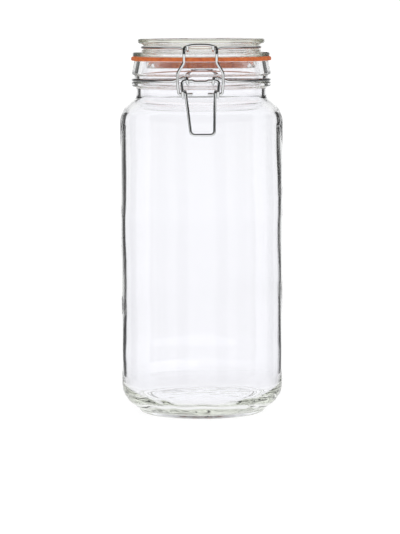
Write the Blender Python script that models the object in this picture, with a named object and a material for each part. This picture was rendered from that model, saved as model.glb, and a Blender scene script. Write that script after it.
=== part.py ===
"""A tall two-litre glass storage jar with a hinged glass lid, a rubber seal and a wire toggle clip.

Metres, +Z up. The jar stands on z = 0 with its axis on Z. The clip is at the front, -Y, and the lid's
hinge at the back, +Y. The clip is shut: the bail's crossbar is pulled down into the two hooks of the
lid's wire, and the lever hangs in front of the shoulder.
"""

import math

import bpy
from mathutils import Vector

# Driving dimensions
OVERALL_HEIGHT = 0.2653
BODY_RADIUS = 0.0579  # just under the shoulder
BASE_RADIUS = 0.0573  # just over the heel: the body narrows by 0.6 mm
WALL = 0.0030
NECK_RADIUS = 0.0461
MOUTH_RADIUS = 0.0412  # at the top of the rim
WIRE_RADIUS = 0.00105
GAP = 0.0003  # between pieces that touch

# Jar, outside
FOOT_OUTER, FOOT_INNER = 0.0446, 0.0400
PUSH_UP = 0.0042
HEEL_RADIUS = 0.018
HEEL_CORNER_Z = 0.0074
FOOT_TOP_RADIUS, FOOT_TOP_Z = 0.0454, 0.0030
SHOULDER_RADIUS = 0.0195
SHOULDER_CORNER_Z = 0.2163
NECK_FOOT_Z = 0.2235
COLLAR_RADIUS, COLLAR_BOTTOM, COLLAR_TOP = 0.0494, 0.2317, 0.2350
GROOVE_RADIUS = 0.0474
RIM_BOTTOM_RADIUS, RIM_BOTTOM = 0.0495, 0.2398
RIM_TOP_RADIUS, RIM_TOP = 0.0475, 0.2498

# Jar, inside
INNER_SHOULDER_CORNER_Z = 0.2125
INNER_NECK_FOOT_Z = 0.2213
INNER_NECK_RADIUS = 0.0430
INNER_SHOULDER_RADIUS = 0.0165
FLOOR_EDGE_Z, FLOOR_CENTRE_Z = 0.0092, 0.0105
INNER_HEEL_RADIUS = 0.0115

# Seal and lid
SEAL_RADIUS, SEAL_THICKNESS = 0.0496, 0.0023
SEAL_BOTTOM = RIM_TOP + GAP
FLANGE_BOTTOM = SEAL_BOTTOM + SEAL_THICKNESS + GAP
FLANGE_RADIUS, FLANGE_THICKNESS = 0.0486, 0.0030
LID_NECK_RADIUS = 0.0423
LID_GROOVE_RADIUS = 0.0407  # the channel for the wire, inside the lid's neck
DISC_RADIUS, DISC_THICKNESS = 0.0450, 0.0037
DISH_RADIUS, DISH_DEPTH = 0.0385, 0.0011
PLUG_RADIUS, PLUG_INNER_RADIUS = MOUTH_RADIUS - 0.0010, 0.0340
PLUG_DRAFT = 0.0014  # the plug is this much narrower at its bottom
PLUG_BOTTOM = 0.2440
LID_HOLLOW_TOP = 0.2565

# Wire routes
EYE_RADIUS = 0.0024  # centreline of an eye that another wire turns in
EYE_PITCH = 0.0023  # sideways step of one turn, so that the turns don't touch
NECK_RING_RADIUS = GROOVE_RADIUS + GAP + WIRE_RADIUS
NECK_RING_Z = COLLAR_TOP + GAP + WIRE_RADIUS
LID_RING_RADIUS = LID_GROOVE_RADIUS + GAP + WIRE_RADIUS
LID_RING_Z = 0.2592
EYE_X = 0.0088  # the neck wire's front eyes and the lid wire's hooks, either side of the middle
LEVER_PIVOT = Vector((0, -0.0524, 0.2368))
BAIL_PIVOT = Vector((0, -0.0519, 0.2275))
LID_HINGE = Vector((0, 0.0550, 0.2430))
CROSSBAR_Y, CROSSBAR_Z = -0.0463, 0.2612
CROSSBAR_DROP = 0.0011  # the crossbar is this much lower at the hooks than in its middle
HOOK_RADIUS = 0.0027
HINGE_EYE_X = 0.0076  # the neck wire's eyes at the back
HINGE_LEG_X = 0.0115  # the lid wire's legs, outside those eyes
LEVER_ARM_X = 0.0129
LEVER_COIL_X = 0.0123  # the coil's outer turn
CROSSBAR_JOG = 0.0008
HANDLE_BOTTOM = Vector((0.0080, -0.0608, 0.1998))
HANDLE_SKEW = 0.0016  # how far the handle's bottom is bent to +X
STUB_TIP_X = 0.0053

ROUND_STEPS = 44
WIRE_SIDES = 8
SMALL_FILLET = 0.0012  # under this an edge is one chamfer


def material(name, colour, roughness, metallic=0.0, transmission=0.0):
    made = bpy.data.materials.new(name)
    made.use_nodes = True
    made.diffuse_color = (*colour, 1.0)
    shader = made.node_tree.nodes["Principled BSDF"]
    shader.inputs["Base Color"].default_value = (*colour, 1.0)
    shader.inputs["Roughness"].default_value = roughness
    shader.inputs["Metallic"].default_value = metallic
    shader.inputs["Transmission Weight"].default_value = transmission
    return made


def arc_steps(radius, angle):
    """How many chords stand for a fillet: one or two for a small edge, more for a heel or a shoulder."""
    if radius < SMALL_FILLET:
        return 1
    finest = math.radians(38 if radius < 0.004 else 15)
    return max(2, math.ceil(angle / finest))


def rounded(corners):
    """Points along a path through corners of (position, fillet radius), with an arc at each corner."""
    places = [Vector(place) for place, _ in corners]
    points = [places[0]]
    for before, (here, radius), after in zip(places, corners[1:-1], places[2:]):
        here = Vector(here)
        back, ahead = (before - here).normalized(), (after - here).normalized()
        turn = math.pi - back.angle(ahead)
        if radius == 0 or turn < 1e-4:
            points.append(here)
            continue
        reach = radius * math.tan(turn / 2)
        centre = here + (back + ahead).normalized() * radius / math.cos(turn / 2)
        start, end = here + back * reach - centre, here + ahead * reach - centre
        steps = arc_steps(radius, turn)
        for k in range(steps + 1):
            share = k / steps
            weight_start = math.sin((1 - share) * turn) / math.sin(turn)
            weight_end = math.sin(share * turn) / math.sin(turn)
            points.append(centre + start * weight_start + end * weight_end)
    return points + [places[-1]]


def section(corners):
    """The rounded outline through corners of (radius, height, fillet radius)."""
    return [(p.x, p.z) for p in rounded([((r, 0, z), fillet) for r, z, fillet in corners])]


def turned(name, outline, closed, made_of):
    """A turned solid. The outline runs anticlockwise seen with the axis on its left; unless it is closed
    on itself, its first and last points are on the axis."""
    vertices, faces, rings = [], [], []
    for radius, height in outline:
        rings.append(len(vertices))
        if radius < 1e-6:
            vertices.append((0, 0, height))
            continue
        for k in range(ROUND_STEPS):
            angle = 2 * math.pi * k / ROUND_STEPS
            vertices.append((radius * math.cos(angle), radius * math.sin(angle), height))
    pairs = list(zip(range(len(outline)), range(1, len(outline))))
    if closed:
        pairs.append((len(outline) - 1, 0))
    for low, high in pairs:
        a, b = rings[low], rings[high]
        for k in range(ROUND_STEPS):
            j = (k + 1) % ROUND_STEPS
            if outline[low][0] < 1e-6:
                faces.append((a, b + j, b + k))
            elif outline[high][0] < 1e-6:
                faces.append((a + k, a + j, b))
            else:
                faces.append((a + k, a + j, b + j, b + k))
    mesh = bpy.data.meshes.new(name)
    mesh.from_pydata(vertices, [], faces)
    mesh.shade_smooth()
    mesh.set_sharp_from_angle(angle=math.radians(40))
    mesh.materials.append(made_of)
    made = bpy.data.objects.new(name, mesh)
    bpy.context.scene.collection.objects.link(made)
    return made


def wire(name, points, pivot, closed, made_of):
    """A round wire through the points, with its origin on the axis that it turns on."""
    curve = bpy.data.curves.new(name, "CURVE")
    curve.dimensions = "3D"
    curve.bevel_depth = WIRE_RADIUS
    curve.bevel_resolution = WIRE_SIDES // 4
    curve.use_fill_caps = True
    spline = curve.splines.new("POLY")
    spline.points.add(len(points) - 1)
    for place, point in zip(points, spline.points):
        point.co = (*(place - pivot), 1)
    spline.use_cyclic_u = closed
    spline.use_smooth = True
    curve.materials.append(made_of)
    made = bpy.data.objects.new(name, curve)
    made.location = pivot
    bpy.context.scene.collection.objects.link(made)
    return made


def eye(centre, radius, x_from, x_to, start, sweep, step=30):
    """Points of a turn round a line along X. start and sweep are degrees from the front, -Y, by the
    bottom, and the turn steps sideways from x_from to x_to."""
    steps = max(2, math.ceil(abs(sweep) / step))
    points = []
    for k in range(steps + 1):
        angle = math.radians(start + sweep * k / steps)
        points.append(
            Vector(
                (
                    x_from + (x_to - x_from) * k / steps,
                    centre.y - radius * math.cos(angle),
                    centre.z - radius * math.sin(angle),
                )
            )
        )
    return points


def ring_arc(radius, height, x_front, x_back, step=11):
    """Points round the right half of a ring, from x_front at the front to x_back at the back."""
    start = -math.acos(x_front / radius)
    end = math.acos(x_back / radius)
    steps = math.ceil(math.degrees(end - start) / step)
    points = []
    for k in range(steps + 1):
        angle = start + (end - start) * k / steps
        points.append(Vector((radius * math.cos(angle), radius * math.sin(angle), height)))
    return points


def mirrored(half):
    """The whole route from its right half, which starts or ends near the middle plane."""
    return half + [Vector((-p.x, p.y, p.z)) for p in reversed(half)]


def jar(glass):
    """The hollow glass body: foot, heel, side, shoulder, neck, collar, wire groove and rim."""
    inner_body, inner_base = BODY_RADIUS - WALL, BASE_RADIUS - WALL
    outline = section(
        [
            (0, PUSH_UP, 0),
            (FOOT_INNER - 0.0028, PUSH_UP - 0.0010, 0.003),
            (FOOT_INNER, 0, 0.0010),
            (FOOT_OUTER, 0, 0.0022),
            (FOOT_TOP_RADIUS, FOOT_TOP_Z, 0.0008),
            (BASE_RADIUS, HEEL_CORNER_Z, HEEL_RADIUS),
            (BODY_RADIUS, SHOULDER_CORNER_Z, SHOULDER_RADIUS),
            (NECK_RADIUS, NECK_FOOT_Z, 0.0030),
            (NECK_RADIUS, COLLAR_BOTTOM - 0.0004, 0.0010),
            (COLLAR_RADIUS, COLLAR_BOTTOM, 0.0013),
            (COLLAR_RADIUS, COLLAR_TOP, 0.0010),
            (GROOVE_RADIUS, COLLAR_TOP, 0),
            (GROOVE_RADIUS, RIM_BOTTOM - 0.0002, 0),
            (RIM_BOTTOM_RADIUS, RIM_BOTTOM + 0.0002, 0.0013),
            (RIM_TOP_RADIUS, RIM_TOP, 0.0013),
            (MOUTH_RADIUS, RIM_TOP, 0.0013),
            (INNER_NECK_RADIUS, RIM_BOTTOM, 0),
            (INNER_NECK_RADIUS, INNER_NECK_FOOT_Z, 0.005),
            (inner_body, INNER_SHOULDER_CORNER_Z, INNER_SHOULDER_RADIUS),
            (inner_base, FLOOR_EDGE_Z, INNER_HEEL_RADIUS),
            (0, FLOOR_CENTRE_Z, 0),
        ]
    )
    return turned("jar_glass", outline, False, glass)


def lid(glass):
    """The glass lid: a plug that enters the mouth, a flange on the seal, a wire groove and a top disc."""
    disc_bottom = OVERALL_HEIGHT - DISC_THICKNESS
    flange_top = FLANGE_BOTTOM + FLANGE_THICKNESS
    outline = section(
        [
            (0, LID_HOLLOW_TOP, 0),
            (PLUG_INNER_RADIUS, LID_HOLLOW_TOP, 0.0045),
            (PLUG_INNER_RADIUS, PLUG_BOTTOM, 0),
            (PLUG_RADIUS - PLUG_DRAFT, PLUG_BOTTOM, 0.0008),
            (PLUG_RADIUS, FLANGE_BOTTOM, 0),
            (FLANGE_RADIUS, FLANGE_BOTTOM, 0.0010),
            (FLANGE_RADIUS, flange_top, 0.0012),
            (LID_NECK_RADIUS, flange_top + 0.0005, 0),
            (LID_NECK_RADIUS, LID_RING_Z - 0.0018, 0),
            (LID_GROOVE_RADIUS, LID_RING_Z - 0.0014, 0),
            (LID_GROOVE_RADIUS, LID_RING_Z + 0.0014, 0),
            (LID_NECK_RADIUS, LID_RING_Z + 0.0018, 0),
            (LID_NECK_RADIUS, disc_bottom, 0),
            (DISC_RADIUS, disc_bottom, 0.0018),
            (DISC_RADIUS, OVERALL_HEIGHT, 0.0014),
            (DISH_RADIUS, OVERALL_HEIGHT, 0.0020),
            (DISH_RADIUS - 0.003, OVERALL_HEIGHT - DISH_DEPTH, 0.0020),
            (0, OVERALL_HEIGHT - DISH_DEPTH, 0),
        ]
    )
    return turned("lid_glass", outline, False, glass)


def seal(rubber):
    inner, top = PLUG_RADIUS + 0.0005, SEAL_BOTTOM + SEAL_THICKNESS
    outline = section(
        [
            (0.5 * (inner + SEAL_RADIUS), SEAL_BOTTOM, 0),
            (SEAL_RADIUS, SEAL_BOTTOM, 0.0008),
            (SEAL_RADIUS, top, 0.0008),
            (inner, top, 0.0005),
            (inner, SEAL_BOTTOM, 0.0005),
            (0.5 * (inner + SEAL_RADIUS), SEAL_BOTTOM, 0),
        ]
    )
    return turned("seal", outline[:-1], True, rubber)


def neck_wire(steel):
    """The ring in the neck's groove. Its ends are the two front eyes that carry the lever, and at the
    back it is turned into the two eyes of the lid's hinge."""
    front_eye = eye(LEVER_PIVOT, EYE_RADIUS, EYE_X - 0.0006, EYE_X + 0.0006, 180, -270)
    ring = ring_arc(NECK_RING_RADIUS, NECK_RING_Z, 0.0190, 0.0135)
    front = rounded(
        [
            (front_eye[-1], 0),
            ((EYE_X + 0.0014, LEVER_PIVOT.y + 0.0030, LEVER_PIVOT.z + EYE_RADIUS), 0.003),
            (ring[0], 0),
        ]
    )
    bottom = LID_HINGE.z - EYE_RADIUS
    inner_x = HINGE_EYE_X - EYE_PITCH
    rise = rounded(
        [
            (ring[-1], 0),
            ((HINGE_EYE_X + 0.0004, LID_HINGE.y - 0.0030, bottom), 0.002),
            ((HINGE_EYE_X, LID_HINGE.y, bottom), 0),
        ]
    )
    back_eye = eye(LID_HINGE, EYE_RADIUS, HINGE_EYE_X, inner_x, 90, 360)
    tail = rounded(
        [
            (back_eye[-1], 0),
            ((inner_x, LID_HINGE.y + 0.0030, bottom), 0.002),
            ((0.0015, LID_HINGE.y + 0.0030, bottom), 0),
        ]
    )
    half = front_eye + front[1:-1] + ring + rise[1:-1] + back_eye + tail[1:-1]
    return wire("neck_wire", mirrored(half), Vector((0, 0, 0)), False, steel)


def lid_wire(steel):
    """The ring in the lid's groove, with a bar at the back that turns in the neck wire's eyes and two
    open hooks at the front that hold the bail's crossbar."""
    hook_centre = Vector((0, CROSSBAR_Y, CROSSBAR_Z - CROSSBAR_DROP))
    hook = eye(hook_centre, HOOK_RADIUS, EYE_X, EYE_X, -20, 110)
    ring = ring_arc(LID_RING_RADIUS, LID_RING_Z, 0.0150, 0.0165)
    front = rounded(
        [
            (hook[-1], 0),
            ((EYE_X + 0.0004, CROSSBAR_Y + 0.0030, LID_RING_Z - 0.0014), 0.003),
            (ring[0], 0),
        ]
    )
    back = rounded(
        [
            (ring[-1], 0),
            ((HINGE_LEG_X, LID_HINGE.y - 0.0025, LID_RING_Z), 0.0025),
            ((HINGE_LEG_X, LID_HINGE.y, LID_HINGE.z), 0.0020),
            ((0, LID_HINGE.y, LID_HINGE.z), 0),
        ]
    )
    half = hook + front[1:-1] + ring + back[1:-1]
    return wire("lid_wire", mirrored(half), LID_HINGE, False, steel)


def lever(steel):
    """The handle: a closed loop of wire whose crossbar turns in the neck wire's eyes, with a coil on
    each side that carries the bail."""
    coil_front = BAIL_PIVOT.y - EYE_RADIUS
    coil_in = LEVER_COIL_X - EYE_PITCH
    arm = rounded(
        [
            ((0.0030, LEVER_PIVOT.y, LEVER_PIVOT.z - CROSSBAR_JOG), 0),
            ((0.0042, LEVER_PIVOT.y, LEVER_PIVOT.z - CROSSBAR_JOG), 0.0012),
            ((0.0056, LEVER_PIVOT.y, LEVER_PIVOT.z), 0.0012),
            ((LEVER_ARM_X, LEVER_PIVOT.y, LEVER_PIVOT.z), 0.0024),
            ((LEVER_COIL_X, coil_front, BAIL_PIVOT.z + 0.0015), 0.002),
            ((LEVER_COIL_X, coil_front, BAIL_PIVOT.z), 0),
        ]
    )
    coil = eye(BAIL_PIVOT, EYE_RADIUS, LEVER_COIL_X, coil_in, 0, 360)
    leg = rounded(
        [
            (coil[-1], 0),
            ((HANDLE_BOTTOM.x, HANDLE_BOTTOM.y, HANDLE_BOTTOM.z), 0.0030),
            ((0, HANDLE_BOTTOM.y, HANDLE_BOTTOM.z), 0),
        ]
    )
    half = arm[:-1] + coil + leg[1:-1]
    skew_top = BAIL_PIVOT.z - EYE_RADIUS
    route = []
    for p in mirrored(half):
        share = max(0.0, skew_top - p.z) / (skew_top - HANDLE_BOTTOM.z)
        route.append(Vector((p.x + HANDLE_SKEW * share, p.y, p.z)))
    return wire("lever_wire", route, LEVER_PIVOT, True, steel)


def bail(steel):
    """The link between lid and lever: two inward stubs that turn in the lever's coils, two legs and the
    arched crossbar in the lid's hooks."""
    half = rounded(
        [
            ((STUB_TIP_X, BAIL_PIVOT.y, BAIL_PIVOT.z), 0),
            ((0.0149, BAIL_PIVOT.y, BAIL_PIVOT.z), 0.0017),
            ((0.0157, -0.0512, 0.2350), 0.006),
            ((0.0157, -0.0503, 0.2420), 0.005),
            ((0.01125, -0.0500, 0.2493), 0.005),
            ((0.01125, -0.0495, 0.2560), 0.004),
            ((0.01125, CROSSBAR_Y, CROSSBAR_Z - CROSSBAR_DROP - 0.0006), 0.0020),
            ((0.0060, CROSSBAR_Y, CROSSBAR_Z - 0.0002), 0.006),
            ((0.0020, CROSSBAR_Y, CROSSBAR_Z), 0),
        ]
    )
    return wire("bail_wire", mirrored(half), BAIL_PIVOT, False, steel)


def build():
    for old in list(bpy.data.objects):
        bpy.data.objects.remove(old)
    glass = material("soda_lime_glass", (0.93, 0.96, 0.94), 0.02, transmission=1.0)
    rubber = material("orange_rubber", (0.72, 0.22, 0.07), 0.55)
    steel = material("zinc_plated_steel", (0.62, 0.62, 0.60), 0.28, metallic=1.0)
    jar(glass)
    neck_wire(steel)
    lid(glass)
    lid_wire(steel)
    seal(rubber)
    lever(steel)
    bail(steel)


build()
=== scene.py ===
# %% [markdown]
# # A tall glass jar with a clip
#
# The object is a two-litre preserving jar: a hollow glass jar, a glass lid, an orange rubber seal
# between them, and four bent wires that make the hinge and the clip. The jar is empty. This
# notebook loads the solids of the part and puts a finished surface on each of them.

# %% Load the part
import math

import bpy
from mathutils import Matrix, Vector


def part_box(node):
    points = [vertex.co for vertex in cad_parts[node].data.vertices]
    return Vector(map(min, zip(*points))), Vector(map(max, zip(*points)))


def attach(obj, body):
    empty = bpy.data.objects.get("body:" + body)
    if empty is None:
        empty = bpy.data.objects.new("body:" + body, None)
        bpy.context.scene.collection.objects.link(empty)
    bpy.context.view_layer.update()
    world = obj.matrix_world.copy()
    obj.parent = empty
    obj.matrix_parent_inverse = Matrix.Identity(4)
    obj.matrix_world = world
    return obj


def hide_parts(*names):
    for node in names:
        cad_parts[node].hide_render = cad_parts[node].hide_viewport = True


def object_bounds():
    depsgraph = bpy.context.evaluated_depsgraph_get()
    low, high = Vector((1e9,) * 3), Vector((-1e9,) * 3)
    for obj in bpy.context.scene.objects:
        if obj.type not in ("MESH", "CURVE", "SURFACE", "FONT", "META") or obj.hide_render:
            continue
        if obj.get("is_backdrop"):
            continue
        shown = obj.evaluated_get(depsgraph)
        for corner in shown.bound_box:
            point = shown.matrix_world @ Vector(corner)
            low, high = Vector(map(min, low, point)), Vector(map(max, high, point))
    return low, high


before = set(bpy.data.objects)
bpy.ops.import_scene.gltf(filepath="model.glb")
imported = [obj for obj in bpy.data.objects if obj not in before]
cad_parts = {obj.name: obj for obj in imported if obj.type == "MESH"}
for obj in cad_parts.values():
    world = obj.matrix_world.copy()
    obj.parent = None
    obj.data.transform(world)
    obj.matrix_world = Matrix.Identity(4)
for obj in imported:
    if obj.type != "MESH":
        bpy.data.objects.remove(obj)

cad_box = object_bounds()
for label, corner in zip(("lowest", "highest"), cad_box):
    print("the solids'", label, "corner is", [round(v, 4) for v in corner])
for node_name in sorted(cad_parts):
    low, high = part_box(node_name)
    print(f"{node_name:11s} {[round(1000 * (b - a), 1) for a, b in zip(low, high)]} mm")

# %% [markdown]
# ## Colours
#
# Colours are written the way a paint or web chart gives them, as sRGB hex values. Blender's
# shaders want linear light, so one function turns a hex value into that.

# %% From sRGB hex to linear light
def linear(hex_colour):
    """An RGBA colour in linear light from a value such as "c8643c"."""
    channels = [int(hex_colour[k : k + 2], 16) / 255 for k in (0, 2, 4)]
    return (*[c / 12.92 if c <= 0.04045 else ((c + 0.055) / 1.055) ** 2.4 for c in channels], 1.0)


print("mid grey 808080 is", round(linear("808080")[0], 3), "in linear light")

# %% [markdown]
# ## One helper for shader nodes
#
# A material is a small network. Every node is added in the same way: a kind, its settings and
# what is plugged into it. With one helper for that, each material reads as a list of its parts.

# %% Add a node
def add_node(tree, kind, settings=None, links=None):
    """Adds a node. Settings are its properties or input values, links what is plugged in."""
    node = tree.nodes.new(kind)
    for name, value in (settings or {}).items():
        if name in node.inputs:
            node.inputs[name].default_value = value
        else:
            setattr(node, name, value)
    for name, socket in (links or {}).items():
        tree.links.new(socket, node.inputs[name])
    return node


def new_material(name):
    """An empty node material: its tree, its output node and itself."""
    made = bpy.data.materials.new(name)
    made.use_nodes = True
    made.node_tree.nodes.clear()
    return made, made.node_tree, made.node_tree.nodes.new("ShaderNodeOutputMaterial")


# %% [markdown]
# ## Glass
#
# The jar and lid are soda-lime glass, pressed and blown in a steel mould and fire-polished, so
# the surface is smooth and bends light by 1.52. A trace of iron gives thick glass an olive tint:
# it is hardly there in a 3 mm wall, and clear to see along the rim of the lid, where light passes
# through 80 mm of it. A tint on the surface would colour thin and thick alike, so the colour
# comes from a volume that absorbs light on its way through.

# %% Soda-lime glass
TINT_DENSITY = 5.5  # per metre
TINT = (0.50, 0.57, 0.32)  # the lower the number, the more of that colour is lost on the way


def soda_lime_glass():
    made, tree, out = new_material("soda_lime_glass")
    shader = add_node(
        tree,
        "ShaderNodeBsdfPrincipled",
        {"Base Color": linear("fcfcff"), "Roughness": 0.0, "IOR": 1.52, "Transmission Weight": 1.0},
    )
    tint = add_node(
        tree, "ShaderNodeVolumeAbsorption", {"Color": (*TINT, 1.0), "Density": TINT_DENSITY}
    )
    tree.links.new(shader.outputs["BSDF"], out.inputs["Surface"])
    tree.links.new(tint.outputs["Volume"], out.inputs["Volume"])
    return made


glass = soda_lime_glass()
for depth in (0.003, 0.08):
    passed = [round(math.exp(-TINT_DENSITY * (1 - c) * depth), 2) for c in TINT]
    print(f"through {1000 * depth:.0f} mm this glass lets {passed} of the light pass")

# %% [markdown]
# ## Rubber
#
# The seal is a flat ring stamped from calendered natural rubber, coloured orange. It has a soft,
# low sheen, a fine skin from the rollers, and a slightly uneven colour from its filler. Light
# goes a little way in, which keeps its edges from looking painted. A picture of rubber would
# repeat and blur close up, so two noise textures in the piece's own coordinates make the mottle
# and the skin.

# %% Natural rubber
RUBBER_MOTTLE = 0.0025  # size of the pale and dark patches
RUBBER_SKIN = 0.0006  # grain of the skin: coarser than on a real ring, so that it shows


def natural_rubber():
    made, tree, out = new_material("natural_rubber")
    place = add_node(tree, "ShaderNodeTexCoord").outputs["Object"]
    patches = add_node(
        tree, "ShaderNodeTexNoise", {"Scale": 1 / RUBBER_MOTTLE, "Detail": 4.0}, {"Vector": place}
    )
    colour = add_node(tree, "ShaderNodeValToRGB", links={"Fac": patches.outputs["Fac"]})
    colour.color_ramp.elements[0].color = linear("b24b12")
    colour.color_ramp.elements[1].color = linear("d4702a")
    colour.color_ramp.elements[0].position, colour.color_ramp.elements[1].position = 0.3, 0.7
    grain = add_node(
        tree, "ShaderNodeTexNoise", {"Scale": 1 / RUBBER_SKIN, "Detail": 3.0}, {"Vector": place}
    )
    skin = add_node(
        tree,
        "ShaderNodeBump",
        {"Strength": 0.35, "Distance": 0.0001},
        {"Height": grain.outputs["Fac"]},
    )
    shader = add_node(
        tree,
        "ShaderNodeBsdfPrincipled",
        {"Roughness": 0.48, "IOR": 1.52, "Subsurface Weight": 0.15, "Subsurface Scale": 0.001},
        {"Base Color": colour.outputs["Color"], "Normal": skin.outputs["Normal"]},
    )
    tree.links.new(shader.outputs["BSDF"], out.inputs["Surface"])
    return made


rubber = natural_rubber()
print("rubber grain", RUBBER_SKIN * 1000, "mm, patches", RUBBER_MOTTLE * 1000, "mm")

# %% [markdown]
# ## Wire
#
# The hinge and clip are bent from hard-drawn steel wire, zinc plated in a barrel. The plating is
# a cool silver with a soft gloss. It isn't even: where it lies thicker it is duller, so the
# roughness wanders a little over a few millimetres. One roughness for all of it would do from
# afar, but close up the highlight would be a clean stripe. A noise on the roughness breaks it up.

# %% Zinc-plated drawn steel
PLATING_PATCH = 0.003  # size of the duller patches
PLATING_GRAIN = 0.0005  # grain of the zinc: coarser than on real wire, so that it shows


def zinc_plated_steel():
    made, tree, out = new_material("zinc_plated_steel")
    place = add_node(tree, "ShaderNodeTexCoord").outputs["Object"]
    patches = add_node(
        tree, "ShaderNodeTexNoise", {"Scale": 1 / PLATING_PATCH, "Detail": 5.0}, {"Vector": place}
    )
    roughness = add_node(
        tree,
        "ShaderNodeMapRange",
        {"From Min": 0.3, "From Max": 0.7, "To Min": 0.07, "To Max": 0.14},
        {"Value": patches.outputs["Fac"]},
    )
    colour = add_node(tree, "ShaderNodeValToRGB", links={"Fac": patches.outputs["Fac"]})
    colour.color_ramp.elements[0].color = linear("dcdee0")
    colour.color_ramp.elements[1].color = linear("eaebea")
    grain = add_node(
        tree, "ShaderNodeTexNoise", {"Scale": 1 / PLATING_GRAIN, "Detail": 2.0}, {"Vector": place}
    )
    skin = add_node(
        tree,
        "ShaderNodeBump",
        {"Strength": 0.12, "Distance": 0.00005},
        {"Height": grain.outputs["Fac"]},
    )
    shader = add_node(
        tree,
        "ShaderNodeBsdfPrincipled",
        {"Metallic": 1.0},
        {
            "Base Color": colour.outputs["Color"],
            "Roughness": roughness.outputs["Result"],
            "Normal": skin.outputs["Normal"],
        },
    )
    tree.links.new(shader.outputs["BSDF"], out.inputs["Surface"])
    return made


steel = zinc_plated_steel()
print("plating patches", PLATING_PATCH * 1000, "mm")

# %% [markdown]
# ## Rounded outlines
#
# Glass from a mould and wire from a bending machine have the same kind of line: straight runs
# joined by arcs. Both are easiest to write as corners with a radius each. This function turns
# such a list into points, with the arcs cut finely enough to look round.

# %% Corners to a rounded path
FINEST_ARC = math.radians(6)


def rounded(corners):
    """Points along a path through corners of (position, radius), with an arc at each corner."""
    places = [Vector(place) for place, _ in corners]
    points = [places[0]]
    for before, (here, radius), after in zip(places, corners[1:-1], places[2:]):
        here = Vector(here)
        back, ahead = (before - here).normalized(), (after - here).normalized()
        turn = math.pi - back.angle(ahead)
        if radius == 0 or turn < 1e-4:
            points.append(here)
            continue
        reach = radius * math.tan(turn / 2)
        centre = here + (back + ahead).normalized() * radius / math.cos(turn / 2)
        start, end = here + back * reach - centre, here + ahead * reach - centre
        steps = max(2, math.ceil(turn / FINEST_ARC))
        for k in range(steps + 1):
            share = k / steps
            from_start = math.sin((1 - share) * turn) / math.sin(turn)
            from_end = math.sin(share * turn) / math.sin(turn)
            points.append(centre + start * from_start + end * from_end)
    return points + [places[-1]]


def section(corners):
    """The rounded outline of a turned piece, from corners of (radius, height, fillet)."""
    return [(p.x, p.z) for p in rounded([((r, 0, z), fillet) for r, z, fillet in corners])]


print("a square corner takes", len(section([(0, 0, 0), (1, 0, 0.1), (1, 1, 0)])), "points")

# %% [markdown]
# ## Turned pieces
#
# Jar, lid and seal are round, so each is one outline carried round the Z axis. Blender's Screw
# modifier does that as well, but a mesh built point by point can also take the small unevenness
# that blown glass has inside: the mould shapes the outside exactly, and the inner face is only as
# even as the air that pressed it.

# %% Carry an outline round the axis
ROUND_STEPS = 224
ON_AXIS = 1e-6  # a point nearer to the axis than this is on it


def turned(name, outline, made_of, closed=False, uneven=None):
    """A turned mesh. Unless it is closed, the outline's first and last points are on the axis.
    uneven is a function of (radius, height, angle) that gives the radius and height there."""
    vertices, faces, rings = [], [], []
    for radius, height in outline:
        rings.append(len(vertices))
        if radius < ON_AXIS:
            vertices.append((0, 0, height))
            continue
        for k in range(ROUND_STEPS):
            angle = 2 * math.pi * k / ROUND_STEPS
            here, level = uneven(radius, height, angle) if uneven else (radius, height)
            vertices.append((here * math.cos(angle), here * math.sin(angle), level))
    pairs = list(zip(range(len(outline)), range(1, len(outline))))
    if closed:
        pairs.append((len(outline) - 1, 0))
    for low, high in pairs:
        a, b = rings[low], rings[high]
        for k in range(ROUND_STEPS):
            j = (k + 1) % ROUND_STEPS
            if outline[low][0] < ON_AXIS:
                faces.append((a, b + j, b + k))
            elif outline[high][0] < ON_AXIS:
                faces.append((a + k, a + j, b))
            else:
                faces.append((a + k, a + j, b + j, b + k))
    mesh = bpy.data.meshes.new(name)
    mesh.from_pydata(vertices, [], faces)
    mesh.shade_smooth()
    mesh.materials.append(made_of)
    made = bpy.data.objects.new(name, mesh)
    made.visible_shadow = made_of is not glass  # or glass would shade the rubber like a solid
    bpy.context.scene.collection.objects.link(made)
    print(f"{name}: {len(vertices)} points, {len(faces)} faces")
    return made


# %% [markdown]
# ## The uneven wall
#
# The mould gives the jar its outside, and air presses the inside. So the wall is thicker under
# the shoulder than lower down, and it wanders a little from side to side. That is what makes the
# dark lines along the edges of blown glass waver. A Displace modifier with a noise texture would
# move the wall at random. Two short tables, one for each side, put the thick places where they
# are.

# %% Thickness by height
# Rows of (height, how much thicker the wall is there than it is meant to be)
LEFT_SHIFT = [
    (0.038, -0.0003), (0.052, 0.0003), (0.067, 0.0003), (0.081, 0.0), (0.095, 0.0001),
    (0.109, 0.0004), (0.137, 0.0004), (0.151, 0.0010), (0.185, 0.0016), (0.215, 0.0012),
]
RIGHT_SHIFT = [
    (0.038, -0.0008), (0.052, -0.0005), (0.081, -0.0001), (0.095, -0.0005), (0.137, -0.0001),
    (0.151, 0.0003), (0.165, 0.0012), (0.185, 0.0019), (0.215, 0.0015),
]


def smooth_step(start, end, value):
    """0 below start, 1 above end, and a smooth rise between."""
    share = min(1.0, max(0.0, (value - start) / (end - start)))
    return share * share * (3 - 2 * share)


def along(table, value):
    """The value of a table of (place, value) rows, with a smooth rise between its rows."""
    if value <= table[0][0]:
        return table[0][1]
    for (start, low), (end, high) in zip(table, table[1:]):
        if value <= end:
            return low + (high - low) * smooth_step(start, end, value)
    return table[-1][1]


for level in (0.05, 0.10, 0.18):
    print(f"at {1000 * level:.0f} mm the wall is thicker by", end=" ")
    print([round(1000 * along(table, level), 2) for table in (LEFT_SHIFT, RIGHT_SHIFT)], "mm")

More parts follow.
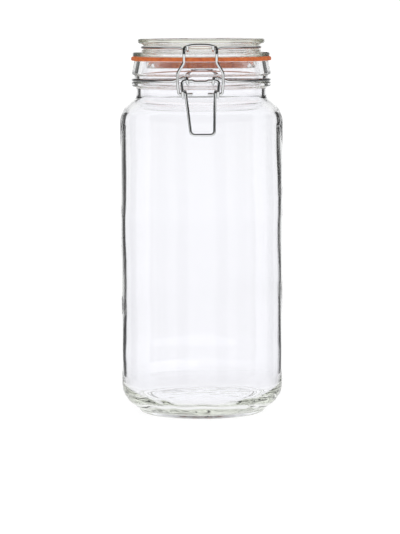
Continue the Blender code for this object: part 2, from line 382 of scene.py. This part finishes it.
# %% [markdown]
# ## The swirls in the floor
#
# The floor is where the soft glass first touched the mould and chilled, and that leaves low
# swirls. They are only 0.2 mm high, but seen at a flat angle they are what breaks up the light in
# the base. Sines of sines give flowing lines that have no seam and are the same in every run.

# %% Swirls
SWIRL_HEIGHT = 0.00013


def floor_swirl(x, y):
    """How far the inner floor rises at a place."""
    broad = math.sin(260 * x + 1.8 * math.sin(230 * y))
    fine = 0.7 * math.sin(430 * y + 2.0 * math.sin(190 * x + 1))
    return SWIRL_HEIGHT * (broad + fine)


print("the swirls rise by", round(1000 * floor_swirl(0.006, 0.0), 2), "mm at one place")

# %% [markdown]
# ## The blown faces
#
# One function moves a point of the jar if it is on the inner floor or the inner wall, and leaves
# the moulded outside, the neck and the rim alone. A move needs points to act on, and a straight
# wall has none between its ends, so a second function adds rows of them.

# %% Move the inner faces
BODY_RADIUS, BASE_RADIUS, WALL = 0.0579, 0.0573, 0.0030
FLOOR_LOW, FLOOR_HIGH, FLOOR_RADIUS = 0.008, 0.0140, 0.052
WALL_STARTS, WALL_ENDS = (0.012, 0.030), (0.200, 0.2185)  # heights where the moves fade in and out
NECK_INSIDE = 0.046  # nearer to the axis than this is the neck
MOULDED_SHARE = 0.4  # the outer part of the wall, which keeps the mould's shape
WALL_WAVES = [(0.00006, 3, 60, 0), (0.00004, 5, -95, 1)]  # size, waves around, twist, start
ROW_HEIGHT = 0.003


def blown(radius, height, angle):
    """Where a point of the jar's outline ends up at an angle round the axis."""
    if FLOOR_LOW < height < FLOOR_HIGH and radius < FLOOR_RADIUS:
        return radius, height + floor_swirl(radius * math.cos(angle), radius * math.sin(angle))
    inside = smooth_step(*WALL_STARTS, height) * (1 - smooth_step(*WALL_ENDS, height))
    moulded = radius > BODY_RADIUS - MOULDED_SHARE * WALL
    if moulded or radius < NECK_INSIDE or inside == 0:
        return radius, height
    right = 0.5 + 0.5 * math.cos(angle)
    shift = along(RIGHT_SHIFT, height) * right + along(LEFT_SHIFT, height) * (1 - right)
    waves = sum(
        size * math.sin(around * angle + twist * height + start)
        for size, around, twist, start in WALL_WAVES
    )
    return radius - inside * (shift + waves), height


def divided(start, end):
    """Points from the start up to the end, without the end, at most a row's height apart."""
    pieces = max(1, math.ceil(math.hypot(end[0] - start[0], end[1] - start[1]) / ROW_HEIGHT))
    return [
        (start[0] + (end[0] - start[0]) * k / pieces, start[1] + (end[1] - start[1]) * k / pieces)
        for k in range(pieces)
    ]


inner = BODY_RADIUS - WALL
moved = [1000 * (inner - blown(inner, 0.18, turn)[0]) for turn in (0.0, math.pi)]
print("at 180 mm the inner wall moves in by", [round(m, 2) for m in moved], "mm, right and left")

# %% [markdown]
# ## The jar
#
# From the bottom up: a push-up base inside a ring foot, a wide heel, a straight wall, a round
# shoulder and a short neck. Round the neck runs a collar, over it the groove for the wire, and
# then the rim that the seal sits on. The list goes up the outside and comes down the inside. The
# body could be built from cylinders and cut hollow, but glass shows every seam inside it. As one
# turned outline it is one closed skin, and each fillet of the mould is a number in the list.

# %% Jar glass
MOUTH_RADIUS, NECK_RADIUS, NECK_FOOT_Z = 0.0412, 0.0461, 0.2235
GROOVE_RADIUS, COLLAR_TOP, RIM_TOP = 0.0474, 0.2350, 0.2498

jar_outline = section(
    [
        (0, 0.0042, 0),  # the push-up
        (0.0372, 0.0032, 0.003),
        (0.0400, 0, 0.001),  # the ring foot
        (0.0446, 0, 0.0022),
        (0.0454, 0.0030, 0.0008),
        (BASE_RADIUS, 0.0074, 0.018),  # the heel
        (BODY_RADIUS, 0.2163, 0.0195),  # the shoulder
        (NECK_RADIUS, NECK_FOOT_Z, 0.003),
        (NECK_RADIUS, 0.2312, 0.0013),
        (0.0494, 0.2317, 0.0014),  # the collar
        (0.0494, COLLAR_TOP, 0.0011),
        (GROOVE_RADIUS, COLLAR_TOP, 0.0004),  # the wire's groove
        (GROOVE_RADIUS, 0.2396, 0.0005),
        (0.0495, 0.2400, 0.0013),  # the rim
        (0.0475, RIM_TOP, 0.0005),
        (MOUTH_RADIUS, RIM_TOP, 0.0005),  # down the inside from here
        (0.0430, 0.2400, 0.010),
        (0.0430, 0.2213, 0.005),
        (BODY_RADIUS - WALL, 0.2125, 0.0165),
        (BASE_RADIUS - WALL, 0.0092, 0.0115),
        (0, 0.0105, 0),
    ]
)
jar_outline = [
    point
    for start, end in zip(jar_outline, jar_outline[1:] + jar_outline[-1:])
    for point in divided(start, end)
]
jar_piece = turned("jar_body", jar_outline, glass, uneven=blown)
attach(jar_piece, "jar")
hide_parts("jar_glass")

# %% [markdown]
# ## The lid
#
# The lid is pressed in one piece: a hollow plug that drops into the mouth, a flange over it that
# presses on the seal, a groove for its wire, and a thick disc on top with a shallow dish in it.
# Bevels could round a stack of discs, but each edge of the lid has its own radius. A turned
# outline gives every corner the one that it needs.

# %% Lid glass
OVERALL_HEIGHT = 0.2653
FLANGE_RADIUS, FLANGE_BOTTOM, FLANGE_TOP = 0.0486, 0.2527, 0.2557
LID_GROOVE_RADIUS, LID_NECK_RADIUS, DISC_RADIUS = 0.0407, 0.0423, 0.0450

lid_outline = section(
    [
        (0, 0.2565, 0),  # the roof of the plug's hollow
        (0.0340, 0.2565, 0.0045),
        (0.0340, 0.2440, 0.001),
        (0.0388, 0.2440, 0.0007),
        (0.0395, 0.2476, 0.09),
        (0.0402, FLANGE_BOTTOM, 0.0004),
        (FLANGE_RADIUS, FLANGE_BOTTOM, 0.0010),  # the flange
        (FLANGE_RADIUS, FLANGE_TOP, 0.0012),
        (LID_NECK_RADIUS, FLANGE_TOP + 0.0005, 0.0008),
        (LID_NECK_RADIUS, 0.2574, 0.0003),
        (LID_GROOVE_RADIUS, 0.2578, 0.0009),
        (LID_GROOVE_RADIUS, 0.2606, 0.0009),
        (LID_NECK_RADIUS, 0.2610, 0.0003),
        (LID_NECK_RADIUS, 0.2616, 0.0003),
        (DISC_RADIUS, 0.2616, 0.0018),  # the disc
        (DISC_RADIUS, OVERALL_HEIGHT, 0.0014),
        (0.0385, OVERALL_HEIGHT, 0.002),  # the dish
        (0.0355, OVERALL_HEIGHT - 0.0011, 0.002),
        (0, OVERALL_HEIGHT - 0.0011, 0),
    ]
)
lid_piece = turned("lid_disc", lid_outline, glass)
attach(lid_piece, "lid")
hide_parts("lid_glass")

# %% [markdown]
# ## The seal
#
# A flat ring, a little wider than the flange above it, squeezed between rim and flange so that
# its outer edge bulges. A torus would be quicker, but it is round in section, and this ring is
# flat. So it is an outline too, closed on itself, with wider fillets on its outer edge.

# %% Rubber seal
SEAL_RADIUS, SEAL_INNER = 0.0496, 0.0407
SEAL_BOTTOM, SEAL_TOP = RIM_TOP + 0.00003, FLANGE_BOTTOM - 0.00003
seal_middle = 0.5 * (SEAL_INNER + SEAL_RADIUS)

seal_outline = section(
    [
        (seal_middle, SEAL_BOTTOM, 0),
        (SEAL_RADIUS, SEAL_BOTTOM, 0.0008),
        (SEAL_RADIUS, SEAL_TOP, 0.0012),
        (SEAL_INNER, SEAL_TOP, 0.0005),
        (SEAL_INNER, SEAL_BOTTOM, 0.0005),
        (seal_middle, SEAL_BOTTOM, 0),
    ]
)[:-1]
seal_piece = turned("rubber_ring", seal_outline, rubber, closed=True)
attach(seal_piece, "lid")
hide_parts("seal")

# %% [markdown]
# ## Bent wire
#
# Each wire is one length of 2.1 mm rod. It could be a mesh, swept once and then fixed. A curve
# with a round bevel makes the same rod and stays easy to change, so the wires stay curves.

# %% A round wire through points
WIRE_RADIUS = 0.00105


def wire_tube(name, points, body, node, closed=False):
    """A round wire through the points, riding on a body in the place of a node of the part."""
    curve = bpy.data.curves.new(name, "CURVE")
    curve.dimensions = "3D"
    curve.bevel_depth = WIRE_RADIUS
    curve.bevel_resolution = 5
    curve.use_fill_caps = True
    spline = curve.splines.new("POLY")
    spline.points.add(len(points) - 1)
    for place, point in zip(points, spline.points):
        point.co = (*place, 1)
    spline.use_cyclic_u = closed
    spline.use_smooth = True
    curve.materials.append(steel)
    made = bpy.data.objects.new(name, curve)
    bpy.context.scene.collection.objects.link(made)
    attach(made, body)
    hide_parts(node)
    length = sum((b - a).length for a, b in zip(points, points[1:]))
    print(f"{name}: {1000 * length:.0f} mm of wire")


print(f"the wire is {2000 * WIRE_RADIUS:.1f} mm thick")

# %% [markdown]
# ## Turns in a wire
#
# The routes are made of straight runs, eyes and parts of rings. Blender can draw each of them as
# a curve of its own, but one wire needs one unbroken row of points. So these helpers return
# points, and a route is their lists put end to end.

# %% Eyes, rings and halves
def eye(centre, radius, x_from, x_to, start, sweep, step=8):
    """Points of a turn round a line along X. Degrees run from the front, by the bottom."""
    steps = max(2, math.ceil(abs(sweep) / step))
    points = []
    for k in range(steps + 1):
        angle = math.radians(start + sweep * k / steps)
        across = x_from + (x_to - x_from) * k / steps
        forward, down = radius * math.cos(angle), radius * math.sin(angle)
        points.append(Vector((across, centre.y - forward, centre.z - down)))
    return points


def ring_arc(radius, height, x_front, x_back, step=3):
    """Points round the right half of a ring, from x_front at the front to x_back at the back."""
    start, end = -math.acos(x_front / radius), math.acos(x_back / radius)
    steps = math.ceil(math.degrees(end - start) / step)
    angles = [start + (end - start) * k / steps for k in range(steps + 1)]
    return [Vector((radius * math.cos(a), radius * math.sin(a), height)) for a in angles]


def mirrored(half):
    """The whole route from its right half, which starts or ends near the middle plane."""
    return half + [Vector((-p.x, p.y, p.z)) for p in reversed(half)]


print("half a ring takes", len(ring_arc(0.05, 0.0, 0.01, 0.01)), "points")

# %% [markdown]
# ## Where the wires turn
#
# The clip is a toggle. The lever turns in two eyes of the neck's wire, and the bail turns in two
# coils of the lever, a little lower and nearer the glass. That small offset is what locks it.

# %% Pivots
GAP = 0.0003
EYE_RADIUS, EYE_PITCH, EYE_X = 0.0024, 0.0023, 0.0088
LEVER_PIVOT = Vector((0, -0.0524, 0.2368))
BAIL_PIVOT = Vector((0, -0.0519, 0.2275))
LID_HINGE = Vector((0, 0.0550, 0.2430))
setback = BAIL_PIVOT.y - LEVER_PIVOT.y
print("the bail's pivot is", round(1000 * setback, 1), "mm behind the lever's")

# %% [markdown]
# ## The neck's wire
#
# A ring in the groove of the neck. At the front its two ends are rolled into the eyes of the
# lever; at the back it is turned into the two eyes of the lid's hinge. Ring and eyes could be
# separate curves that overlap, but then their ends would show. Here the light runs on along the
# wire. Only the right half is written, and the left one mirrors it.

# %% Neck wire
EYE_LEAN, BACK_EYE_X = 0.0006, 0.0076
front_eye = eye(LEVER_PIVOT, EYE_RADIUS, EYE_X - EYE_LEAN, EYE_X + EYE_LEAN, 180, -270)
neck_ring = ring_arc(
    GROOVE_RADIUS + GAP + WIRE_RADIUS, COLLAR_TOP + GAP + WIRE_RADIUS, 0.0190, 0.0135
)
to_ring = rounded(
    [
        (front_eye[-1], 0),
        ((EYE_X + 0.0014, LEVER_PIVOT.y + 0.0030, LEVER_PIVOT.z + EYE_RADIUS), 0.003),
        (neck_ring[0], 0),
    ]
)
eye_bottom, inner_x = LID_HINGE.z - EYE_RADIUS, BACK_EYE_X - EYE_PITCH
to_back_eye = rounded(
    [
        (neck_ring[-1], 0),
        ((0.0080, LID_HINGE.y - 0.0030, eye_bottom), 0.002),
        ((BACK_EYE_X, LID_HINGE.y, eye_bottom), 0),
    ]
)
back_eye = eye(LID_HINGE, EYE_RADIUS, BACK_EYE_X, inner_x, 90, 360)
tail = rounded(
    [
        (back_eye[-1], 0),
        ((inner_x, LID_HINGE.y + 0.0030, eye_bottom), 0.002),
        ((0.0015, LID_HINGE.y + 0.0030, eye_bottom), 0),
    ]
)
neck_half = front_eye + to_ring[1:-1] + neck_ring + to_back_eye[1:-1] + back_eye + tail[1:-1]
wire_tube("neck_ring", mirrored(neck_half), "jar", "neck_wire")

# %% [markdown]
# ## The lid's wire
#
# A ring in the groove of the lid. Its bar at the back is the hinge pin, and its two ends at the
# front are bent up into open hooks that hold the bail. A torus with a bar across it would look
# alike from afar. A single route also shows how the ring turns down into the pin.

# %% Lid wire
LID_RING_Z = 0.2592
CROSSBAR_Y, CROSSBAR_Z, CROSSBAR_DROP = -0.0463, 0.2612, 0.0011
HOOK_RADIUS, PIN_LEG_X = 0.0027, 0.0115
hook_centre = Vector((0, CROSSBAR_Y, CROSSBAR_Z - CROSSBAR_DROP))
hook = eye(hook_centre, HOOK_RADIUS, EYE_X, EYE_X, -20, 110)
lid_ring = ring_arc(LID_GROOVE_RADIUS + GAP + WIRE_RADIUS, LID_RING_Z, 0.0150, 0.0165)
to_lid_ring = rounded(
    [
        (hook[-1], 0),
        ((EYE_X + 0.0004, CROSSBAR_Y + 0.0030, LID_RING_Z - 0.0014), 0.003),
        (lid_ring[0], 0),
    ]
)
to_pin = rounded(
    [
        (lid_ring[-1], 0),
        ((PIN_LEG_X, LID_HINGE.y - 0.0025, LID_RING_Z), 0.0025),
        ((PIN_LEG_X, LID_HINGE.y, LID_HINGE.z), 0.0020),
        ((0, LID_HINGE.y, LID_HINGE.z), 0),
    ]
)
lid_half = hook + to_lid_ring[1:-1] + lid_ring + to_pin[1:-1]
wire_tube("lid_ring", mirrored(lid_half), "lid", "lid_wire")

# %% [markdown]
# ## The lever
#
# A closed loop: the bar at the top turns in the neck's eyes, a coil on each side holds the bail,
# and the two legs meet in the bar that a finger pulls. The legs are a little skewed, as bent wire
# is. A mirrored wire would look too even, so the route is mirrored first and then leaned over,
# further and further towards the handle.

# %% Lever wire
COIL_X = 0.0123
HANDLE_BOTTOM, HANDLE_SKEW = Vector((0.0080, -0.0608, 0.1998)), 0.0016
BAR_DIP = 0.0008  # how much lower the top bar is between the two eyes
coil_front = BAIL_PIVOT.y - EYE_RADIUS
arm = rounded(
    [
        ((0.0030, LEVER_PIVOT.y, LEVER_PIVOT.z - BAR_DIP), 0),
        ((0.0042, LEVER_PIVOT.y, LEVER_PIVOT.z - BAR_DIP), 0.0012),
        ((0.0056, LEVER_PIVOT.y, LEVER_PIVOT.z), 0.0012),
        ((0.0129, LEVER_PIVOT.y, LEVER_PIVOT.z), 0.0024),
        ((COIL_X, coil_front, BAIL_PIVOT.z + 0.0015), 0.002),
        ((COIL_X, coil_front, BAIL_PIVOT.z), 0),
    ]
)
coil = eye(BAIL_PIVOT, EYE_RADIUS, COIL_X, COIL_X - EYE_PITCH, 0, 360)
leg = rounded([(coil[-1], 0), (HANDLE_BOTTOM, 0.0030), ((0, HANDLE_BOTTOM.y, HANDLE_BOTTOM.z), 0)])
skew_top = BAIL_PIVOT.z - EYE_RADIUS
lever_route = []
for p in mirrored(arm[:-1] + coil + leg[1:-1]):
    share = max(0.0, skew_top - p.z) / (skew_top - HANDLE_BOTTOM.z)
    lever_route.append(Vector((p.x + HANDLE_SKEW * share, p.y, p.z)))
wire_tube("lever_loop", lever_route, "lever", "lever_wire", closed=True)

# %% [markdown]
# ## The bail
#
# The upper wire of the clip. Its two ends point inwards and turn in the lever's coils; its legs
# go up past the rim, and its arched bar lies in the hooks of the lid. A smooth spline through a
# few points would be shorter to write, but it swings wide at each bend. Wire from a bending
# machine runs straight between tight bends, so this one is corners with radii as well.

# %% Bail wire
bail_half = rounded(
    [
        ((0.0053, BAIL_PIVOT.y, BAIL_PIVOT.z), 0),
        ((0.0149, BAIL_PIVOT.y, BAIL_PIVOT.z), 0.0017),
        ((0.0157, -0.0512, 0.2350), 0.006),
        ((0.0157, -0.0503, 0.2420), 0.005),
        ((0.01125, -0.0500, 0.2493), 0.005),
        ((0.01125, -0.0495, 0.2560), 0.004),
        ((0.01125, CROSSBAR_Y, CROSSBAR_Z - CROSSBAR_DROP - 0.0006), 0.0020),
        ((0.0060, CROSSBAR_Y, CROSSBAR_Z - 0.0002), 0.006),
        ((0.0020, CROSSBAR_Y, CROSSBAR_Z), 0),
    ]
)
wire_tube("bail_loop", mirrored(bail_half), "bail", "bail_wire")

# %% [markdown]
# ## Table
#
# A product shot on white is usually taken on a sheet of opal acrylic that is lit from below, so
# that nothing casts a shadow. A disc that glows and also takes a little of the room's light does
# the same.

# %% Light table
TABLE_RADIUS = 0.17
TABLE_GLOW = 0.89  # with the room's light on top it is just white


def light_table():
    made, tree, out = new_material("opal_table")
    shader = add_node(
        tree,
        "ShaderNodeBsdfPrincipled",
        {
            "Base Color": linear("5a5a5a"),
            "Roughness": 0.9,
            "Emission Color": linear("ffffff"),
            "Emission Strength": TABLE_GLOW,
        },
    )
    tree.links.new(shader.outputs["BSDF"], out.inputs["Surface"])
    return made


table_angles = [math.radians(3 * k) for k in range(120)]
table_edge = [(TABLE_RADIUS * math.cos(a), TABLE_RADIUS * math.sin(a), 0) for a in table_angles]
table_sheet = bpy.data.meshes.new("table")
table_sheet.from_pydata(table_edge, [], [tuple(range(len(table_edge)))])
table_sheet.materials.append(light_table())
table = bpy.data.objects.new("table", table_sheet)
bpy.context.scene.collection.objects.link(table)
table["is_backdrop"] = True
print("the table is", 2 * TABLE_RADIUS, "m across")

# %% [markdown]
# ## Light from a ramp
#
# The room is a world shader: light by direction. An image of a studio could be wrapped round the
# scene instead, but then no part of it could be moved by itself. A colour ramp gives the light by
# height or by turn, and each of its stops is a number that can be changed.

# %% Ramps
def grey(level):
    """A grey of that much light."""
    return (level, level, level, 1.0)


def ramp(tree, value, stops):
    """Light along a value from 0 to 1, from stops of (value, colour or level)."""
    node = add_node(tree, "ShaderNodeValToRGB", links={"Fac": value})
    for position, _ in stops[2:]:
        node.color_ramp.elements.new(position)
    for element, (position, light) in zip(node.color_ramp.elements, stops):
        element.position = position
        element.color = grey(light) if isinstance(light, float) else light
    return node.outputs["Color"]


print("a grey of 0.5 is", grey(0.5))

# %% [markdown]
# ## Sums and mixes
#
# Which sky a ray sees is worked out with numbers: a mask is 0 where no card shows and up to 1
# where one does. Math and Mix nodes do that, and two helpers keep each of them on one line.

# %% Sums and mixes
def sums(tree, operation, first, second=None):
    """The result of a sum on one or two sockets; a plain number may stand for the second."""
    node = add_node(tree, "ShaderNodeMath", {"operation": operation})
    tree.links.new(first, node.inputs[0])
    if isinstance(second, float):
        node.inputs[1].default_value = second
    elif second is not None:
        tree.links.new(second, node.inputs[1])
    return node.outputs["Value"]


def mixed(tree, factor, first, second, blend="MIX"):
    """Two lights mixed by a factor. Each of the three is a socket or a plain number."""
    node = add_node(tree, "ShaderNodeMix", {"data_type": "RGBA", "blend_type": blend})
    sockets = (node.inputs[0], node.inputs[6], node.inputs[7])  # the factor and the two colours
    for socket, source in zip(sockets, (factor, first, second)):
        if not isinstance(source, float):
            tree.links.new(source, socket)
        elif socket.type == "RGBA":
            socket.default_value = grey(source)
        else:
            socket.default_value = source
    return node.outputs[2]


# %% [markdown]
# ## Directions
#
# A real sky is far away, so it depends on direction alone. The world's Generated coordinates are
# that direction, in the room's own axes. Its three parts, and how each ray got here, are all that
# the skies below are made from.

# %% An empty world
world = bpy.data.worlds.new("studio")
bpy.context.scene.world = world
world.use_nodes = True
tree = world.node_tree
tree.nodes.clear()
direction = add_node(tree, "ShaderNodeTexCoord").outputs["Generated"]
axes = add_node(tree, "ShaderNodeSeparateXYZ", links={"Vector": direction})
ray = add_node(tree, "ShaderNodeLightPath")
aside = sums(tree, "ABSOLUTE", axes.outputs["X"])
height = axes.outputs["Z"]
print("the sky is drawn from", direction.name.lower(), "directions")

# %% [markdown]
# ## The sky that the glass shows
#
# Clear glass has no colour of its own: it shows what is around it. On white it is drawn only by
# the dark things that its edges pick up, so in a studio narrow black cards stand just outside the
# view, and the room behind the camera is dark. Black sheets on stands would do it here too, but
# each would be seen by every piece. In a world shader a card is a dip in the light by direction,
# with a soft edge.

# %% Cards for glass
CARD_SOFT = 2.5  # width of a card's soft edge, in degrees
FRONT_CARD, SIDE_CARD = (29.0, 7.2, 0.035), (61.0, 7.5, 0.50)  # middle, half width, light
ROOM_SIDE = (58.0, 12.0, (0.30, 0.31, 0.20, 1.0))  # the same, for a wide olive wall
SKY_BY_HEIGHT = [(0.41, 1.05), (0.48, 1.11), (0.72, 1.11), (0.95, 0.55)]  # 0 is down, 1 is up
CARD_BY_HEIGHT = [(0.37, 0.0), (0.405, 1.0), (0.58, 1.0), (0.66, 0.0)]  # how far the cards reach


def cards(tree, turn, *placed):
    """White with dark cards, by how far a direction is turned from the Y axis towards the X."""
    stops = []
    for middle, half, light in placed:
        stops.append(((middle - half - CARD_SOFT) / 90, 1.0))
        stops.append(((middle - half) / 90, light))
        stops.append(((middle + half) / 90, light))
        stops.append(((middle + half + CARD_SOFT) / 90, 1.0))
    return ramp(tree, turn, stops)


turn = sums(tree, "ARCTAN2", aside, sums(tree, "ABSOLUTE", axes.outputs["Y"]))
turn = sums(tree, "DIVIDE", turn, math.pi / 2)
rise = sums(tree, "MULTIPLY", sums(tree, "ADD", height, 1.0), 0.5)
glass_sky = ramp(tree, rise, SKY_BY_HEIGHT)
card_height = ramp(tree, rise, CARD_BY_HEIGHT)
print("cards at", FRONT_CARD[0], "and", SIDE_CARD[0], "degrees from the backdrop")

# %% [markdown]
# ## Which rays see the cards
#
# The wall of the jar turns light into its edge by a mirror-like bounce inside the glass, and only
# those rays look for the two cards of an edge. The cards on the camera's side are paler, because
# the front of the jar mirrors them faintly. The solid lid bends light straight through it, out to
# the olive side of the room. Light that bounces back out of the jar meets the dark room behind
# the camera. Light Path tells the rays apart: a ray that has crossed two faces has been in one
# wall.

# %% Rays for the cards
CAMERA_SIDE = 0.65  # how strong the edge cards are on the camera's side
DARK_ROOM = 0.05

bounced = sums(tree, "GREATER_THAN", ray.outputs["Glossy Depth"], 0.5)
straight = sums(tree, "LESS_THAN", ray.outputs["Glossy Depth"], 0.5)
in_one_wall = sums(tree, "LESS_THAN", ray.outputs["Transmission Depth"], 2.5)
further_in = sums(tree, "GREATER_THAN", ray.outputs["Transmission Depth"], 2.5)
to_backdrop = sums(tree, "GREATER_THAN", axes.outputs["Y"], 0.0)
to_camera = sums(tree, "LESS_THAN", axes.outputs["Y"], 0.0)

near = sums(tree, "MULTIPLY", card_height, in_one_wall)
strength = sums(tree, "MAXIMUM", to_backdrop, CAMERA_SIDE)
edge_mask = sums(tree, "MULTIPLY", near, sums(tree, "MULTIPLY", bounced, strength))
side_mask = sums(tree, "MULTIPLY", near, straight)
echo_mask = sums(tree, "MULTIPLY", to_camera, sums(tree, "MULTIPLY", bounced, further_in))
glass_sky = mixed(tree, edge_mask, glass_sky, cards(tree, turn, FRONT_CARD, SIDE_CARD), "MULTIPLY")
glass_sky = mixed(tree, side_mask, glass_sky, cards(tree, turn, ROOM_SIDE), "MULTIPLY")
glass_sky = mixed(tree, echo_mask, glass_sky, DARK_ROOM, "MULTIPLY")
print("the dark room gives", DARK_ROOM, "of the sky's light")

# %% [markdown]
# ## The sky that the wire mirrors
#
# Polished wire needs something dark to mirror, or it turns as white as the table. It sees a
# bright window behind the camera, the white backdrop, and a dim room to the sides and overhead.
# Lamps and panels would do that too, but the glass would show them as well. A second sky, which
# only mirrored rays see, can be set for the metal alone.

# %% Room for metal
ROOM_LEVEL = 0.17
ROOM_BY_TURN = [(0.38, 1.0), (0.48, ROOM_LEVEL), (0.86, ROOM_LEVEL), (0.90, 1.0)]  # 0 is the window
CEILING = [(0.0, 1.0), (0.18, 1.0), (0.28, 0.05)]  # by height, from level to 16 degrees up

sweep = sums(tree, "ARCTAN2", aside, sums(tree, "MULTIPLY", axes.outputs["Y"], -1.0))
sweep = sums(tree, "DIVIDE", sweep, math.pi)  # 0 behind the camera, 1 at the backdrop
room = ramp(tree, sweep, ROOM_BY_TURN)
overhead = ramp(tree, height, CEILING)
metal_sky = mixed(tree, 1.0, overhead, room, "MULTIPLY")
print("the room's sides give", ROOM_LEVEL, "of the window's light")

# %% [markdown]
# ## World
#
# The camera sees plain white paper. A ray that has been mirrored sees the metal's sky, and a ray
# that has come through glass sees the glass's. A ray can be both, so the glass is asked last.
# Light crosses a dozen faces and bounces between them in the rim, so it is given more bounces
# than usual, or those places turn black.

# %% World
PAPER_LIGHT = 1.12  # a little over white, as a well lit sheet of paper

mirrored_sky = mixed(tree, ray.outputs["Is Glossy Ray"], PAPER_LIGHT, metal_sky)
seen_sky = mixed(tree, ray.outputs["Is Transmission Ray"], mirrored_sky, glass_sky)
sky = add_node(tree, "ShaderNodeBackground", {"Strength": 1.0}, {"Color": seen_sky})
add_node(tree, "ShaderNodeOutputWorld", links={"Surface": sky.outputs["Background"]})
bpy.context.scene.view_settings.view_transform = "Standard"
bpy.context.scene.cycles.max_bounces = 32
bpy.context.scene.cycles.transmission_bounces = 32
bpy.context.scene.cycles.glossy_bounces = 16
print("paper gives", PAPER_LIGHT, "and the world has", len(tree.nodes), "nodes")

# %% [markdown]
# ## Camera
#
# The camera is 1.8 m away with a long lens, a little above the lid, so the jar stands almost
# straight and the rim and base are only slightly open ellipses. A short lens from close by would
# fill the frame too, but it would open the ellipses and lean the walls.

# %% Camera
CAMERA_DISTANCE, CAMERA_HEIGHT = 1.80, 0.285
SENSOR_WIDTH, FOCAL_LENGTH = 36, 170.9  # in millimetres
CAMERA_AZIMUTH, CAMERA_TILT, CAMERA_ROLL = 0.68, 5.78, -0.185
AIM_LEFT = 0.042  # degrees: the jar stands a pixel right of the middle

lens = bpy.data.cameras.new("camera")
lens.sensor_width = SENSOR_WIDTH
lens.lens = FOCAL_LENGTH
camera = bpy.data.objects.new("camera", lens)
bpy.context.scene.collection.objects.link(camera)
place = Vector(
    (
        CAMERA_DISTANCE * math.sin(math.radians(CAMERA_AZIMUTH)),
        -CAMERA_DISTANCE * math.cos(math.radians(CAMERA_AZIMUTH)),
        CAMERA_HEIGHT,
    )
)
camera.matrix_world = (
    Matrix.Translation(place)
    @ Matrix.Rotation(math.radians(CAMERA_AZIMUTH + AIM_LEFT), 4, "Z")
    @ Matrix.Rotation(math.radians(90 - CAMERA_TILT), 4, "X")
    @ Matrix.Rotation(math.radians(CAMERA_ROLL), 4, "Z")
)
bpy.context.scene.camera = camera
print("lens", FOCAL_LENGTH, "mm at", CAMERA_DISTANCE, "m")

# %% [markdown]
#
# The finished pieces are meant to stay in the room of the solids. That could be judged by eye, but
# a millimetre doesn't show, so both boxes are printed one under the other.

# %% Sizes
final_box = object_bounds()
for label, (low, high) in (("solids", cad_box), ("finished", final_box)):
    print(label, [round(1000 * (b - a), 2) for a, b in zip(low, high)], "mm")
